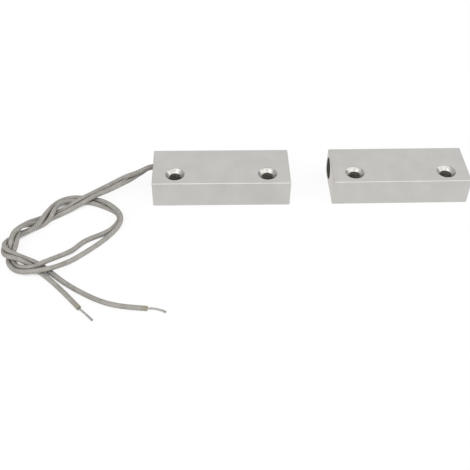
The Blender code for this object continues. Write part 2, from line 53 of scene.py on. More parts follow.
# Sizes that repeat the part's own
BLOCK_LENGTH = 50.0 * MM
BLOCK_WIDTH = 19.5 * MM
BLOCK_HEIGHT = 10.4 * MM
EDGE_ROUND = 0.35 * MM
SCREW_HOLE_RADIUS = 2.1 * MM
COUNTERSINK_RADIUS = 3.45 * MM
SCREW_FROM_FRONT = 5.5 * MM
SCREW_FROM_END = 8.2 * MM
BORE_RADIUS = 4.0 * MM
BORE_Y = 14.5 * MM
BORE_Z = 5.2 * MM
SWITCH_BORE_DEPTH = 45.0 * MM
MAGNET_BORE_DEPTH = 36.6 * MM
DRILL_POINT_HALF_ANGLE = math.radians(59.0)
POTTING_DEPTH = 6.0 * MM
POTTING_RECESS = 0.25 * MM
POTTING_CROWN = 0.2 * MM
PAIR_GAP = 15.55 * MM
MAGNET_SETBACK = 0.2 * MM
MAGNET_YAW = math.radians(0.4)
WIRE_RADIUS = 0.85 * MM
CORE_RADIUS = 0.38 * MM
FIT_GAP = 0.3 * MM
EXIT_1 = (15.9 * MM, 5.1 * MM)
EXIT_2 = (14.7 * MM, 6.6 * MM)

SWITCH = Matrix.Translation(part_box("switch_housing")[0])
MAGNET = (
    SWITCH
    @ Matrix.Translation((BLOCK_LENGTH + PAIR_GAP, MAGNET_SETBACK, 0.0))
    @ Matrix.Rotation(MAGNET_YAW, 4, "Z")
)

# Routes of the free wires in millimetres, the same points as in the part's source
WIRE_1_ROUTE = (
    (-1.6, 15.9, 5.0), (-3.2, 15.4, 4.6), (-4.6, 14.4, 4.1), (-6.0, 13.3, 3.9), (-8.1, 11.4, 3.6),
    (-10.6, 9.0, 3.7), (-14.0, 6.1, 3.8), (-21.0, 1.7, 3.3), (-24.5, -0.2, 2.4), (-34.7, -6.6, 0.9),
    (-40.8, -10.1, 1.6), (-42.6, -12.2, 2.8), (-44.1, -16.2, 5.5), (-46.4, -19.9, 5.6), (-47.2, -22.8, 3.5),
    (-47.6, -26.6, 1.1), (-47.1, -29.7, 1.0), (-42.7, -34.2, 1.7), (-32.4, -33.9, 2.8), (-28.1, -30.2, 1.4),
    (-25.1, -27.6, 1.0), (-16.1, -18.6, 0.9), (-11.6, -12.4, 1.6), (-11.3, -7.2, 2.8), (-18.4, 0.9, 2.0),
    (-21.3, 2.8, 1.1), (-28.9, 4.3, 0.9), (-34.6, 1.5, 1.3), (-38.2, -9.0, 3.3), (-40.5, -13.4, 2.5),
    (-46.4, -17.4, 2.3), (-48.9, -21.9, 3.7), (-48.8, -23.9, 4.2), (-47.0, -26.5, 4.2), (-38.9, -29.2, 1.5),
    (-33.9, -32.4, 0.9), (-28.1, -37.9, 0.9), (-21.7, -42.8, 0.9), (-14.8, -46.9, 0.9), (-8.2, -49.1, 0.9),
    (0.6, -50.3, 0.9),
)
WIRE_2_ROUTE = (
    (-1.5, 14.6, 6.5), (-3.9, 13.8, 5.9), (-6.7, 12.1, 5.6), (-10.6, 10.4, 5.2), (-18.0, 7.6, 2.8),
    (-24.7, 2.2, 2.9), (-28.1, 0.1, 2.2), (-31.5, -2.1, 1.1), (-35.0, -4.1, 0.9), (-43.7, -9.2, 1.2),
    (-45.2, -12.1, 2.3), (-45.6, -15.9, 3.9), (-45.3, -22.8, 3.3), (-45.9, -27.1, 1.9), (-44.5, -30.4, 1.3),
    (-42.4, -32.3, 1.9), (-38.5, -33.0, 2.6), (-35.8, -31.8, 3.0), (-28.6, -25.7, 1.4), (-25.6, -22.5, 0.9),
    (-22.8, -19.2, 0.9), (-15.6, -14.1, 0.9), (-11.9, -9.1, 0.9), (-12.7, -5.1, 0.9), (-21.7, 0.4, 0.9),
    (-28.4, 1.8, 1.0), (-30.8, 0.9, 1.5), (-33.0, -1.2, 2.4), (-35.0, -7.0, 2.8), (-37.7, -10.6, 1.4),
    (-46.3, -15.5, 0.9), (-49.6, -19.6, 0.9), (-50.0, -22.2, 1.2), (-48.3, -27.6, 3.0), (-43.6, -29.8, 3.2),
    (-38.9, -31.4, 1.3), (-34.1, -35.5, 0.9), (-28.7, -41.1, 0.9), (-21.2, -49.9, 0.9),
)
BARE_END_1_ROUTE = ((0.9, -50.3, 0.9), (2.2, -50.3, 0.85), (3.6, -50.5, 0.75), (5.0, -50.9, 0.6), (6.5, -51.6, 0.47))
BARE_END_2_ROUTE = ((-21.0, -50.2, 0.9), (-19.8, -51.3, 0.75), (-18.3, -52.8, 0.6), (-16.6, -54.6, 0.47))

# Detail that only the eye needs
RIM_BREAK = 0.1 * MM
MOUTH_CHAMFER = 0.3 * MM
CUT_EDGE_ROUND = 0.12 * MM
CUT_RECESS = 0.1 * MM
WIRE_RING_STEP = 0.3 * MM
WIRE_SIDES = 24
OUTER_STRANDS = 6
RIB_LAY = 6.0 * MM
MENISCUS_HEIGHT = 0.3 * MM
MENISCUS_REACH = 0.35 * MM
ROUND_STEPS = 96
CREASE_ANGLE = math.radians(30.0)
CUTTER_REACH = 2.0 * MM

# How the pair of wires closes up: how near they must run, and how many 0.3 mm steps a move is spread and held over
PAIR_REACH = 2.9 * MM
PAIR_CLEARANCE = 0.04 * MM
PAIR_PASSES = 14
PAIR_HOLD = 22
PAIR_SELF = 24
PAIR_MOST = 0.7 * MM
APART_STRETCHES = (
    ((86.0 * MM, 117.0 * MM), (196.0 * MM, 245.0 * MM)),
    ((80.0 * MM, 110.0 * MM), (182.0 * MM, 217.0 * MM)),
)

# Camera: its place from the switch half's corner, how it is turned, and its lens
CAMERA_PLACE = (21.64 * MM, -219.82 * MM, 195.11 * MM)
CAMERA_DOWN = math.radians(43.70)
CAMERA_ASIDE = math.radians(2.21)
CAMERA_ROLL = math.radians(0.97)
CAMERA_LENS = 61.385
CAMERA_SENSOR = 36.0

# How bright the softboxes are, where 1 is white
SOFTBOX_BRIGHTNESS = 1.0


def add_camera():
    data = bpy.data.cameras.new("camera")
    data.sensor_fit = "HORIZONTAL"
    data.sensor_width = CAMERA_SENSOR
    data.lens = CAMERA_LENS
    data.clip_start = 0.01
    data.clip_end = 20.0
    camera = bpy.data.objects.new("camera", data)
    bpy.context.scene.collection.objects.link(camera)
    camera.matrix_world = (
        SWITCH
        @ Matrix.Translation(CAMERA_PLACE)
        @ Matrix.Rotation(-CAMERA_ASIDE, 4, "Z")
        @ Matrix.Rotation(math.pi / 2.0 - CAMERA_DOWN, 4, "X")
        @ Matrix.Rotation(CAMERA_ROLL, 4, "Z")
    )
    bpy.context.scene.camera = camera


def link(name, mesh):
    obj = bpy.data.objects.new(name, mesh)
    bpy.context.scene.collection.objects.link(obj)
    return obj


def evaluated_mesh(obj):
    """The plain mesh that an object's modifiers make."""
    depsgraph = bpy.context.evaluated_depsgraph_get()
    return bpy.data.meshes.new_from_object(obj.evaluated_get(depsgraph), depsgraph=depsgraph)


def srgb(code):
    """A hex colour such as "a5a19a" as linear RGBA."""
    values = [int(code[k:k + 2], 16) / 255.0 for k in (0, 2, 4)]
    return (*[v / 12.92 if v <= 0.04045 else ((v + 0.055) / 1.055) ** 2.4 for v in values], 1.0)


def add_node(tree, kind, inputs=None, **settings):
    """A node with its settings; an input given as a socket is linked, and any other value is set."""
    made = tree.nodes.new(kind)
    for name, value in settings.items():
        setattr(made, name, value)
    for key, value in (inputs or {}).items():
        if isinstance(value, bpy.types.NodeSocket):
            tree.links.new(value, made.inputs[key])
        else:
            made.inputs[key].default_value = value
    return made


def new_material(name, **values):
    """A Principled material, with the values that are the same all over it set on the shader itself."""
    material = bpy.data.materials.new(name)
    material.use_nodes = True
    tree = material.node_tree
    shader = tree.nodes["Principled BSDF"]
    for key, value in values.items():
        shader.inputs[key.replace("_", " ")].default_value = value
    return material, tree, shader


def spline_through(knots, step):
    """Points a step apart along the natural cubic spline through a route's own points."""
    knots = np.array(knots)
    gaps = np.sqrt(np.linalg.norm(np.diff(knots, axis=0), axis=1))
    marks = np.concatenate(([0.0], np.cumsum(gaps)))
    count = len(marks)
    system = np.eye(count)
    pull = np.zeros_like(knots)
    for i in range(1, count - 1):
        system[i, i - 1:i + 2] = gaps[i - 1], 2.0 * (gaps[i - 1] + gaps[i]), gaps[i]
        pull[i] = 6.0 * ((knots[i + 1] - knots[i]) / gaps[i] - (knots[i] - knots[i - 1]) / gaps[i - 1])
    bend = np.linalg.solve(system, pull)
    at = np.linspace(0.0, marks[-1], 4000)
    span = np.clip(np.searchsorted(marks, at, side="right") - 1, 0, count - 2)
    width = gaps[span][:, None]
    ahead = (marks[span + 1] - at)[:, None]
    behind = (at - marks[span])[:, None]
    curve = (bend[span] * ahead ** 3 + bend[span + 1] * behind ** 3) / (6.0 * width)
    curve += (knots[span] / width - bend[span] * width / 6.0) * ahead
    curve += (knots[span + 1] / width - bend[span + 1] * width / 6.0) * behind
    reach = np.concatenate(([0.0], np.cumsum(np.linalg.norm(np.diff(curve, axis=0), axis=1))))
    even = np.linspace(0.0, reach[-1], max(2, round(reach[-1] / step) + 1))
    return np.stack([np.interp(even, reach, curve[:, axis]) for axis in range(3)], axis=1)


def nearest(path, other, apart):
    """For each point of a path, the way to the nearest point of another, how far it is and how level the two run.

    Points of the same path count only when they are more than apart steps away along it.
    """
    way = other[None] - path[:, None]
    away = np.linalg.norm(way, axis=2)
    if apart:
        steps = np.abs(np.arange(len(path))[:, None] - np.arange(len(other))[None])
        away[steps < apart] = np.inf
    closest = away.argmin(axis=1)
    rows = np.arange(len(path))
    own, its = (np.gradient(p, axis=0) for p in (path, other))
    own, its = (t / np.linalg.norm(t, axis=1)[:, None] for t in (own, its))
    return way[rows, closest], away[rows, closest], np.abs((own * its[closest]).sum(axis=1))


def eased(moves, spread):
    """Moves spread over their neighbours, fading out at the block and at the cut end, which stay in place."""
    weights = np.hanning(spread)
    weights /= weights.sum()
    moves = np.stack([np.convolve(moves[:, axis], weights, mode="same") for axis in range(3)], axis=1)
    from_ends = np.minimum(np.arange(len(moves)), np.arange(len(moves))[::-1])
    return moves * np.clip(from_ends / PAIR_HOLD - 1.0, 0.0, 1.0)[:, None]


def lying_together(paths, apart_stretches):
    """Wires that run side by side close up until they touch, and crossings and the floor hold them off.

    apart_stretches are the lengths along each wire between which it goes its own way.
    """
    touching = 2.0 * WIRE_RADIUS + PAIR_CLEARANCE
    given = paths
    for _ in range(PAIR_PASSES):
        moved = []
        for path, other, stretches in zip(paths, paths[::-1], apart_stretches):
            way, away, level = nearest(path, other, 0)
            pull = np.clip((PAIR_REACH - away) / (PAIR_REACH - touching), 0.0, 1.0) * np.clip(level * 8.0 - 7.0, 0.0, 1.0)
            slack = np.maximum(away - touching, 0.0) * np.sqrt(pull)
            for start, stop in stretches:
                slack[round(start / WIRE_RING_STEP):round(stop / WIRE_RING_STEP)] = 0.0
            moved.append(path + eased(way / away[:, None] * (0.4 * slack)[:, None], 41))
        paths = moved
        for _ in range(2):
            held = []
            for path, other, start in zip(paths, paths[::-1], given):
                push = np.zeros_like(path)
                for beside, apart in ((other, 0), (path, PAIR_SELF)):
                    way, away, _ = nearest(path, beside, apart)
                    push -= way / away[:, None] * (0.6 * np.maximum(touching - away, 0.0))[:, None]
                shift = eased(path - start, 11) + eased(push, 25)
                size = np.linalg.norm(shift, axis=1)
                shift *= (np.minimum(size, PAIR_MOST) / np.maximum(size, 1e-9))[:, None]
                settled = start + shift
                settled[:, 2] = np.maximum(settled[:, 2], np.minimum(start[:, 2], WIRE_RADIUS))
                held.append(settled)
            paths = held
    return paths


def placed(route, before=()):
    """A route's points in metres in the model's frame, after any points that go before them."""
    points = list(before) + [tuple(value * MM for value in point) for point in route]
    return [tuple(SWITCH @ Vector(point)) for point in points]


def steady_frames(path):
    """Tangents, and normals that turn no more than the path makes them."""
    tangents = np.gradient(path, axis=0)
    tangents /= np.linalg.norm(tangents, axis=1)[:, None]
    normal = np.cross(tangents[0], (0.0, 1.0, 0.0))
    normals = [normal / np.linalg.norm(normal)]
    for tangent in tangents[1:]:
        normal = normals[-1] - tangent * np.dot(normals[-1], tangent)
        normals.append(normal / np.linalg.norm(normal))
    return tangents, np.array(normals)


def insulated_wire(name, path, material):
    """A wire's insulation as a tube, with an eased cut edge and the hollow that its conductor comes out of.

    The map "wire" runs once round the tube in U, and in V back from the cut end in metres.
    """
    tangents, normals = steady_frames(path)
    sides = np.cross(tangents, normals)
    steps = np.linalg.norm(np.diff(path, axis=0), axis=1)
    to_go = np.concatenate((np.cumsum(steps[::-1])[::-1], [0.0]))
    rows = [(path[k], k, WIRE_RADIUS, to_go[k]) for k in range(len(path)) if to_go[k] > CUT_EDGE_ROUND or k == 0]
    end = path[-1]
    for k in range(5):
        angle = math.pi / 2.0 * k / 4.0
        back = CUT_EDGE_ROUND * (1.0 - math.sin(angle))
        radius = WIRE_RADIUS - CUT_EDGE_ROUND * (1.0 - math.cos(angle))
        rows.append((end - tangents[-1] * back, -1, radius, back))
    for radius, back in ((0.7 * MM, 0.0), (0.5 * MM, 0.0), (0.41 * MM, 0.03 * MM), (0.385 * MM, CUT_RECESS)):
        rows.append((end - tangents[-1] * back, -1, radius, 0.0))
    tube = bmesh.new()
    uv = tube.loops.layers.uv.new("wire")
    rings = []
    for centre, k, radius, _ in rows:
        angles = np.arange(WIRE_SIDES) * 2.0 * math.pi / WIRE_SIDES
        points = centre + radius * (np.outer(np.cos(angles), normals[k]) + np.outer(np.sin(angles), sides[k]))
        rings.append([tube.verts.new(point) for point in points])
    for r in range(len(rings) - 1):
        for k in range(WIRE_SIDES):
            after = (k + 1) % WIRE_SIDES
            face = tube.faces.new((rings[r][k], rings[r][after], rings[r + 1][after], rings[r + 1][k]))
            around = (k / WIRE_SIDES, (k + 1) / WIRE_SIDES, (k + 1) / WIRE_SIDES, k / WIRE_SIDES)
            along = (rows[r][3], rows[r][3], rows[r + 1][3], rows[r + 1][3])
            for loop, u, v in zip(face.loops, around, along):
                loop[uv].uv = (u, v)
    for ring in (rings[0], rings[-1]):
        tube.faces.new(ring)
    bmesh.ops.recalc_face_normals(tube, faces=tube.faces)
    mesh = bpy.data.meshes.new(name)
    tube.to_mesh(mesh)
    tube.free()
    mesh.shade_smooth()
    mesh.set_sharp_from_angle(angle=CREASE_ANGLE)
    mesh.materials.append(material)
    return link(name, mesh)


def strand_tree():
    """Geometry Nodes: a straight bundle's strands laid round a middle one along the piece's own curve."""
    tree = bpy.data.node_groups.new("laid strands", "GeometryNodeTree")
    tree.interface.new_socket("Geometry", in_out="INPUT", socket_type="NodeSocketGeometry")
    for name, kind in (
        ("Outer Strands", "NodeSocketInt"),
        ("Strand Radius", "NodeSocketFloat"),
        ("Lay Length", "NodeSocketFloat"),
        ("Tip Flare", "NodeSocketFloat"),
        ("Material", "NodeSocketMaterial"),
    ):
        tree.interface.new_socket(name, in_out="INPUT", socket_type=kind)
    tree.interface.new_socket("Geometry", in_out="OUTPUT", socket_type="NodeSocketGeometry")
    given = add_node(tree, "NodeGroupInput").outputs
    strands = add_node(tree, "ShaderNodeMath", {0: given["Outer Strands"], 1: 1.0}, operation="ADD").outputs[0]
    copies = add_node(
        tree, "GeometryNodeDuplicateElements", {"Geometry": given["Geometry"], "Amount": strands}, domain="SPLINE"
    ).outputs
    spline = add_node(tree, "GeometryNodeSplineParameter").outputs
    share = add_node(
        tree, "ShaderNodeMath", {0: copies["Duplicate Index"], 1: given["Outer Strands"]}, operation="DIVIDE"
    ).outputs[0]
    laid = add_node(tree, "ShaderNodeMath", {0: spline["Length"], 1: given["Lay Length"]}, operation="DIVIDE")
    turns = add_node(tree, "ShaderNodeMath", {0: share, 1: laid.outputs[0]}, operation="ADD").outputs[0]
    angle = add_node(tree, "ShaderNodeMath", {0: turns, 1: 2.0 * math.pi}, operation="MULTIPLY").outputs[0]
    cosine = add_node(tree, "ShaderNodeMath", {0: angle}, operation="COSINE").outputs[0]
    sine = add_node(tree, "ShaderNodeMath", {0: angle}, operation="SINE").outputs[0]
    outer = add_node(
        tree, "ShaderNodeMath", {0: copies["Duplicate Index"], 1: given["Outer Strands"]}, operation="LESS_THAN"
    ).outputs[0]
    tip = add_node(tree, "ShaderNodeMath", {0: spline["Factor"], 1: 3.0}, operation="POWER").outputs[0]
    spread = add_node(
        tree, "ShaderNodeMath", {0: tip, 1: given["Tip Flare"], 2: 2.0}, operation="MULTIPLY_ADD"
    ).outputs[0]
    reach = add_node(tree, "ShaderNodeMath", {0: spread, 1: given["Strand Radius"]}, operation="MULTIPLY").outputs[0]
    reach = add_node(tree, "ShaderNodeMath", {0: reach, 1: outer}, operation="MULTIPLY").outputs[0]
    normal = add_node(tree, "GeometryNodeInputNormal").outputs["Normal"]
    tangent = add_node(tree, "GeometryNodeInputTangent").outputs["Tangent"]
    side = add_node(tree, "ShaderNodeVectorMath", {0: tangent, 1: normal}, operation="CROSS_PRODUCT").outputs[0]
    across = add_node(tree, "ShaderNodeVectorMath", {0: normal, "Scale": cosine}, operation="SCALE").outputs[0]
    up = add_node(tree, "ShaderNodeVectorMath", {0: side, "Scale": sine}, operation="SCALE").outputs[0]
    around = add_node(tree, "ShaderNodeVectorMath", {0: across, 1: up}, operation="ADD").outputs[0]
    offset = add_node(tree, "ShaderNodeVectorMath", {0: around, "Scale": reach}, operation="SCALE").outputs[0]
    moved = add_node(
        tree, "GeometryNodeSetPosition", {"Geometry": copies["Geometry"], "Offset": offset}
    ).outputs["Geometry"]
    outline = add_node(
        tree, "GeometryNodeCurvePrimitiveCircle", {"Resolution": 12, "Radius": given["Strand Radius"]}
    ).outputs["Curve"]
    swept = add_node(
        tree, "GeometryNodeCurveToMesh", {"Curve": moved, "Profile Curve": outline, "Fill Caps": True}
    ).outputs["Mesh"]
    plain = add_node(tree, "GeometryNodeRealizeInstances", {"Geometry": swept}).outputs["Geometry"]
    finished = add_node(
        tree, "GeometryNodeSetMaterial", {"Geometry": plain, "Material": given["Material"]}
    ).outputs["Geometry"]
    add_node(tree, "NodeGroupOutput", {"Geometry": finished})
    return tree


def laid_strands(name, path, tree, values):
    """A stripped conductor: the strand tree run along a path, as a plain mesh."""
    curve = bpy.data.curves.new(name + "_route", "CURVE")
    curve.dimensions = "3D"
    spline = curve.splines.new("POLY")
    spline.points.add(len(path) - 1)
    for target, point in zip(spline.points, path):
        target.co = (*point, 1.0)
    route = bpy.data.objects.new(name + "_route", curve)
    bpy.context.scene.collection.objects.link(route)
    modifier = route.modifiers.new("laid strands", "NODES")
    modifier.node_group = tree
    for item in tree.interface.items_tree:
        if item.in_out == "INPUT" and item.name in values:
            modifier[item.identifier] = values[item.name]
    mesh = evaluated_mesh(route)
    bpy.data.objects.remove(route, do_unlink=True)
    mesh.name = name
    mesh.shade_smooth()
    mesh.set_sharp_from_angle(angle=CREASE_ANGLE)
    return link(name, mesh)


def turned(name, outline, turn, slots=None):
    """A closed turned solid from (radius, distance) points that start and end on its axis, set by a matrix.

    slots gives the material slot of each band between two points.
    """
    body = bmesh.new()
    rings = []
    for radius, distance in outline:
        if radius == 0.0:
            rings.append([body.verts.new(turn @ Vector((0.0, 0.0, distance)))])
            continue
        ring = []
        for k in range(ROUND_STEPS):
            angle = 2.0 * math.pi * k / ROUND_STEPS
            ring.append(body.verts.new(turn @ Vector((radius * math.cos(angle), radius * math.sin(angle), distance))))
        rings.append(ring)
    for band, (first, second) in enumerate(zip(rings, rings[1:])):
        for k in range(ROUND_STEPS):
            after = (k + 1) % ROUND_STEPS
            corners = [first[k % len(first)], first[after % len(first)], second[after % len(second)], second[k % len(second)]]
            corners = list(dict.fromkeys(corners))
            face = body.faces.new(corners)
            if slots:
                face.material_index = slots[band]
    bmesh.ops.recalc_face_normals(body, faces=body.faces)
    mesh = bpy.data.meshes.new(name)
    body.to_mesh(mesh)
    body.free()
    return link(name, mesh)


def housing(name, bore_depth, half, materials):
    """A block with eased edges, two countersunk holes and a drilled bore, each with its edge broken.

    materials are those of the outer faces, the sawn ends, the countersinks and the drilled walls, in this order.
    """
    size = Vector((BLOCK_LENGTH, BLOCK_WIDTH, BLOCK_HEIGHT))
    cube = bmesh.new()
    bmesh.ops.create_cube(cube, size=1.0)
    bmesh.ops.scale(cube, vec=size, verts=cube.verts)
    bmesh.ops.translate(cube, vec=size / 2.0, verts=cube.verts)
    bmesh.ops.bevel(cube, geom=cube.edges, offset=EDGE_ROUND, segments=6, profile=0.5, affect="EDGES")
    cube.normal_update()
    for face in cube.faces:
        face.material_index = 1 if abs(face.normal.x) > 0.99 else 0
    mesh = bpy.data.meshes.new(name)
    cube.to_mesh(mesh)
    cube.free()
    for material in materials:
        mesh.materials.append(material)
    obj = link(name, mesh)

    cone_end = BLOCK_HEIGHT - (COUNTERSINK_RADIUS - SCREW_HOLE_RADIUS)
    hole = (
        (0.0, BLOCK_HEIGHT + CUTTER_REACH),
        (COUNTERSINK_RADIUS + 2.0 * RIM_BREAK, BLOCK_HEIGHT + CUTTER_REACH),
        (COUNTERSINK_RADIUS + 2.0 * RIM_BREAK, BLOCK_HEIGHT + 0.04 * MM),
        (COUNTERSINK_RADIUS, BLOCK_HEIGHT - 0.4 * RIM_BREAK),
        (COUNTERSINK_RADIUS - RIM_BREAK, BLOCK_HEIGHT - RIM_BREAK),
        (SCREW_HOLE_RADIUS, cone_end),
        (SCREW_HOLE_RADIUS, RIM_BREAK),
        (SCREW_HOLE_RADIUS + 2.0 * RIM_BREAK, -RIM_BREAK),
        (SCREW_HOLE_RADIUS + 2.0 * RIM_BREAK, -CUTTER_REACH),
        (0.0, -CUTTER_REACH),
    )
    bore = (
        (0.0, bore_depth + BORE_RADIUS / math.tan(DRILL_POINT_HALF_ANGLE)),
        (BORE_RADIUS, bore_depth),
        (BORE_RADIUS, MOUTH_CHAMFER),
        (BORE_RADIUS + 2.0 * MOUTH_CHAMFER, -MOUTH_CHAMFER),
        (BORE_RADIUS + 2.0 * MOUTH_CHAMFER, -CUTTER_REACH),
        (0.0, -CUTTER_REACH),
    )
    cutters = [
        turned(name + "_hole", hole, Matrix.Translation((x, SCREW_FROM_FRONT, 0.0)), (0, 0, 2, 2, 2, 3, 3, 0, 0))
        for x in (SCREW_FROM_END, BLOCK_LENGTH - SCREW_FROM_END)
    ]
    along_x = Matrix.Translation((0.0, BORE_Y, BORE_Z)) @ Matrix.Rotation(math.pi / 2.0, 4, "Y")
    cutters.append(turned(name + "_bore", bore, along_x, (3, 3, 2, 0, 0)))
    for cutter in cutters:
        for material in materials:
            cutter.data.materials.append(material)
        boolean = obj.modifiers.new("cut", "BOOLEAN")
        boolean.operation = "DIFFERENCE"
        boolean.solver = "EXACT"
        boolean.material_mode = "INDEX"
        boolean.object = cutter
    cut = evaluated_mesh(obj)
    obj.modifiers.clear()
    obj.data = cut
    for cutter in cutters:
        bpy.data.objects.remove(cutter, do_unlink=True)
    cut.shade_smooth()
    cut.set_sharp_from_angle(angle=CREASE_ANGLE)
    weighted = obj.modifiers.new("even flats", "WEIGHTED_NORMAL")
    weighted.keep_sharp = True
    weighted.weight = 100
    even = evaluated_mesh(obj)
    obj.modifiers.clear()
    even.transform(half)
    even.name = name
    obj.data = even
    return obj


def potting(name, half, wires, material):
    """Poured epoxy in a bore's mouth: slightly crowned, and drawn up the wall and round each wire.

    wires are the places where leads come out of it, beside and above the base corner.
    """
    radius = BORE_RADIUS - 0.01 * MM
    body = bmesh.new()
    rings = [[body.verts.new(half @ Vector((surface_x(0.0, 0.0, radius, wires), BORE_Y, BORE_Z)))]]
    steps = 40
    for step in range(1, steps + 1):
        r = radius * step / steps
        ring = []
        for k in range(ROUND_STEPS):
            angle = 2.0 * math.pi * k / ROUND_STEPS
            y, z = r * math.cos(angle), r * math.sin(angle)
            ring.append(body.verts.new(half @ Vector((surface_x(y, z, radius, wires), BORE_Y + y, BORE_Z + z))))
        rings.append(ring)
    back = []
    for k in range(ROUND_STEPS):
        angle = 2.0 * math.pi * k / ROUND_STEPS
        point = (POTTING_DEPTH, BORE_Y + radius * math.cos(angle), BORE_Z + radius * math.sin(angle))
        back.append(body.verts.new(half @ Vector(point)))
    rings.append(back)
    for first, second in zip(rings, rings[1:]):
        for k in range(ROUND_STEPS):
            after = (k + 1) % ROUND_STEPS
            corners = [first[k % len(first)], first[after % len(first)], second[after], second[k]]
            body.faces.new(list(dict.fromkeys(corners)))
    body.faces.new(back)
    bmesh.ops.recalc_face_normals(body, faces=body.faces)
    mesh = bpy.data.meshes.new(name)
    body.to_mesh(mesh)
    body.free()
    mesh.shade_smooth()
    mesh.set_sharp_from_angle(angle=math.radians(75.0))
    mesh.materials.append(material)
    return link(name, mesh)


def surface_x(y, z, radius, wires):
    """How far inside the block the epoxy's face lies at a point, seen from the bore's axis."""
    r = math.hypot(y, z)
    x = POTTING_RECESS - POTTING_CROWN * (1.0 - (r / radius) ** 2)
    x -= 0.6 * MENISCUS_HEIGHT * math.exp(-(radius - r) / MENISCUS_REACH)
    for wire_y, wire_z in wires:
        away = max(0.0, math.hypot(BORE_Y + y - wire_y, BORE_Z + z - wire_z) - WIRE_RADIUS)
        x -= 2.0 * MENISCUS_HEIGHT * math.exp(-away / MENISCUS_REACH)
    return max(x, -1.5 * MENISCUS_HEIGHT)


def ride_along(obj, slot, *nodes, body="housing"):
    """Ties a finished piece to its body and hides the CAD nodes that it stands for; slot is not used."""
    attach(obj, body)
    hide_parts(*nodes)


def grain_bump(tree, coordinates, size, height, detail=3.0):
    noise = add_node(
        tree, "ShaderNodeTexNoise", {"Vector": coordinates, "Scale": 1.0 / size, "Detail": detail}
    ).outputs["Fac"]
    return add_node(tree, "ShaderNodeBump", {"Height": noise, "Strength": 1.0, "Distance": height}).outputs["Normal"], noise


def blasted_aluminium():
    """Bead-blasted, clear anodised aluminium: an even satin grey whose fine grain takes the edge off reflections."""
    material, tree, shader = new_material("blasted anodised aluminium", Metallic=1.0)
    place = add_node(tree, "ShaderNodeTexCoord").outputs["Object"]
    normal, grain = grain_bump(tree, place, 0.3 * MM, 0.004 * MM)
    cloud = add_node(
        tree, "ShaderNodeTexNoise", {"Vector": place, "Scale": 1.0 / (6.0 * MM), "Detail": 2.0}
    ).outputs["Fac"]
    tone = add_node(tree, "ShaderNodeValToRGB", {"Fac": cloud})
    tone.color_ramp.elements[0].position = 0.3
    tone.color_ramp.elements[0].color = srgb("c4c2be")
    tone.color_ramp.elements[1].position = 0.7
    tone.color_ramp.elements[1].color = srgb("cac8c5")
    tree.links.new(tone.outputs["Color"], shader.inputs["Base Color"])
    rough = add_node(
        tree, "ShaderNodeMapRange", {"Value": grain, "To Min": 0.38, "To Max": 0.46}
    ).outputs["Result"]
    tree.links.new(rough, shader.inputs["Roughness"])
    tree.links.new(normal, shader.inputs["Normal"])
    return material


def sawn_aluminium():
    """A bar's sawn end, anodised like the rest: fine upright lines left by the blade."""
    material, tree, shader = new_material("sawn anodised aluminium", Metallic=1.0, Roughness=0.4)
    shader.inputs["Base Color"].default_value = srgb("c8c3be")
    place = add_node(tree, "ShaderNodeTexCoord").outputs["Object"]
    lines = add_node(tree, "ShaderNodeMapping", {"Vector": place, "Scale": (1.0, 1.0, 12.0)}, vector_type="TEXTURE")
    normal, _ = grain_bump(tree, lines.outputs["Vector"], 0.25 * MM, 0.006 * MM)
    tree.links.new(normal, shader.inputs["Normal"])
    return material


def turned_rings(name, colours, roughness, spacing, depth):
    """A cut cone or wall whose rings follow the tool's feed, so they run level round an upright hole."""
    material, tree, shader = new_material(name, Metallic=1.0, Roughness=roughness)
    place = add_node(tree, "ShaderNodeTexCoord").outputs["Object"]
    cloud = add_node(
        tree, "ShaderNodeTexNoise", {"Vector": place, "Scale": 1.0 / (0.5 * MM), "Detail": 2.0}
    ).outputs["Fac"]
    tone = add_node(tree, "ShaderNodeValToRGB", {"Fac": cloud})
    for stop, position, code in zip(tone.color_ramp.elements, (0.3, 0.7), colours):
        stop.position = position
        stop.color = srgb(code)
    tree.links.new(tone.outputs["Color"], shader.inputs["Base Color"])
    rings = add_node(
        tree,
        "ShaderNodeTexWave",
        {"Vector": place, "Scale": 1.0 / spacing / 20.0 * math.pi, "Distortion": 0.4, "Detail": 1.0},
        bands_direction="Z",
    ).outputs["Fac"]
    chatter, _ = grain_bump(tree, place, 0.6 * MM, 3.0 * depth)
    normal = add_node(
        tree, "ShaderNodeBump", {"Height": rings, "Strength": 1.0, "Distance": depth, "Normal": chatter}
    ).outputs["Normal"]
    tree.links.new(normal, shader.inputs["Normal"])
    return material


def black_epoxy():
    """Poured black epoxy: nearly smooth and half glossy, with soft sinks where it shrank."""
    material, tree, shader = new_material("poured black epoxy", Roughness=0.6, IOR=1.55, Specular_IOR_Level=0.05)
    shader.inputs["Base Color"].default_value = srgb("151413")
    place = add_node(tree, "ShaderNodeTexCoord").outputs["Object"]
    normal, _ = grain_bump(tree, place, 1.2 * MM, 0.03 * MM)
    tree.links.new(normal, shader.inputs["Normal"])
    return material


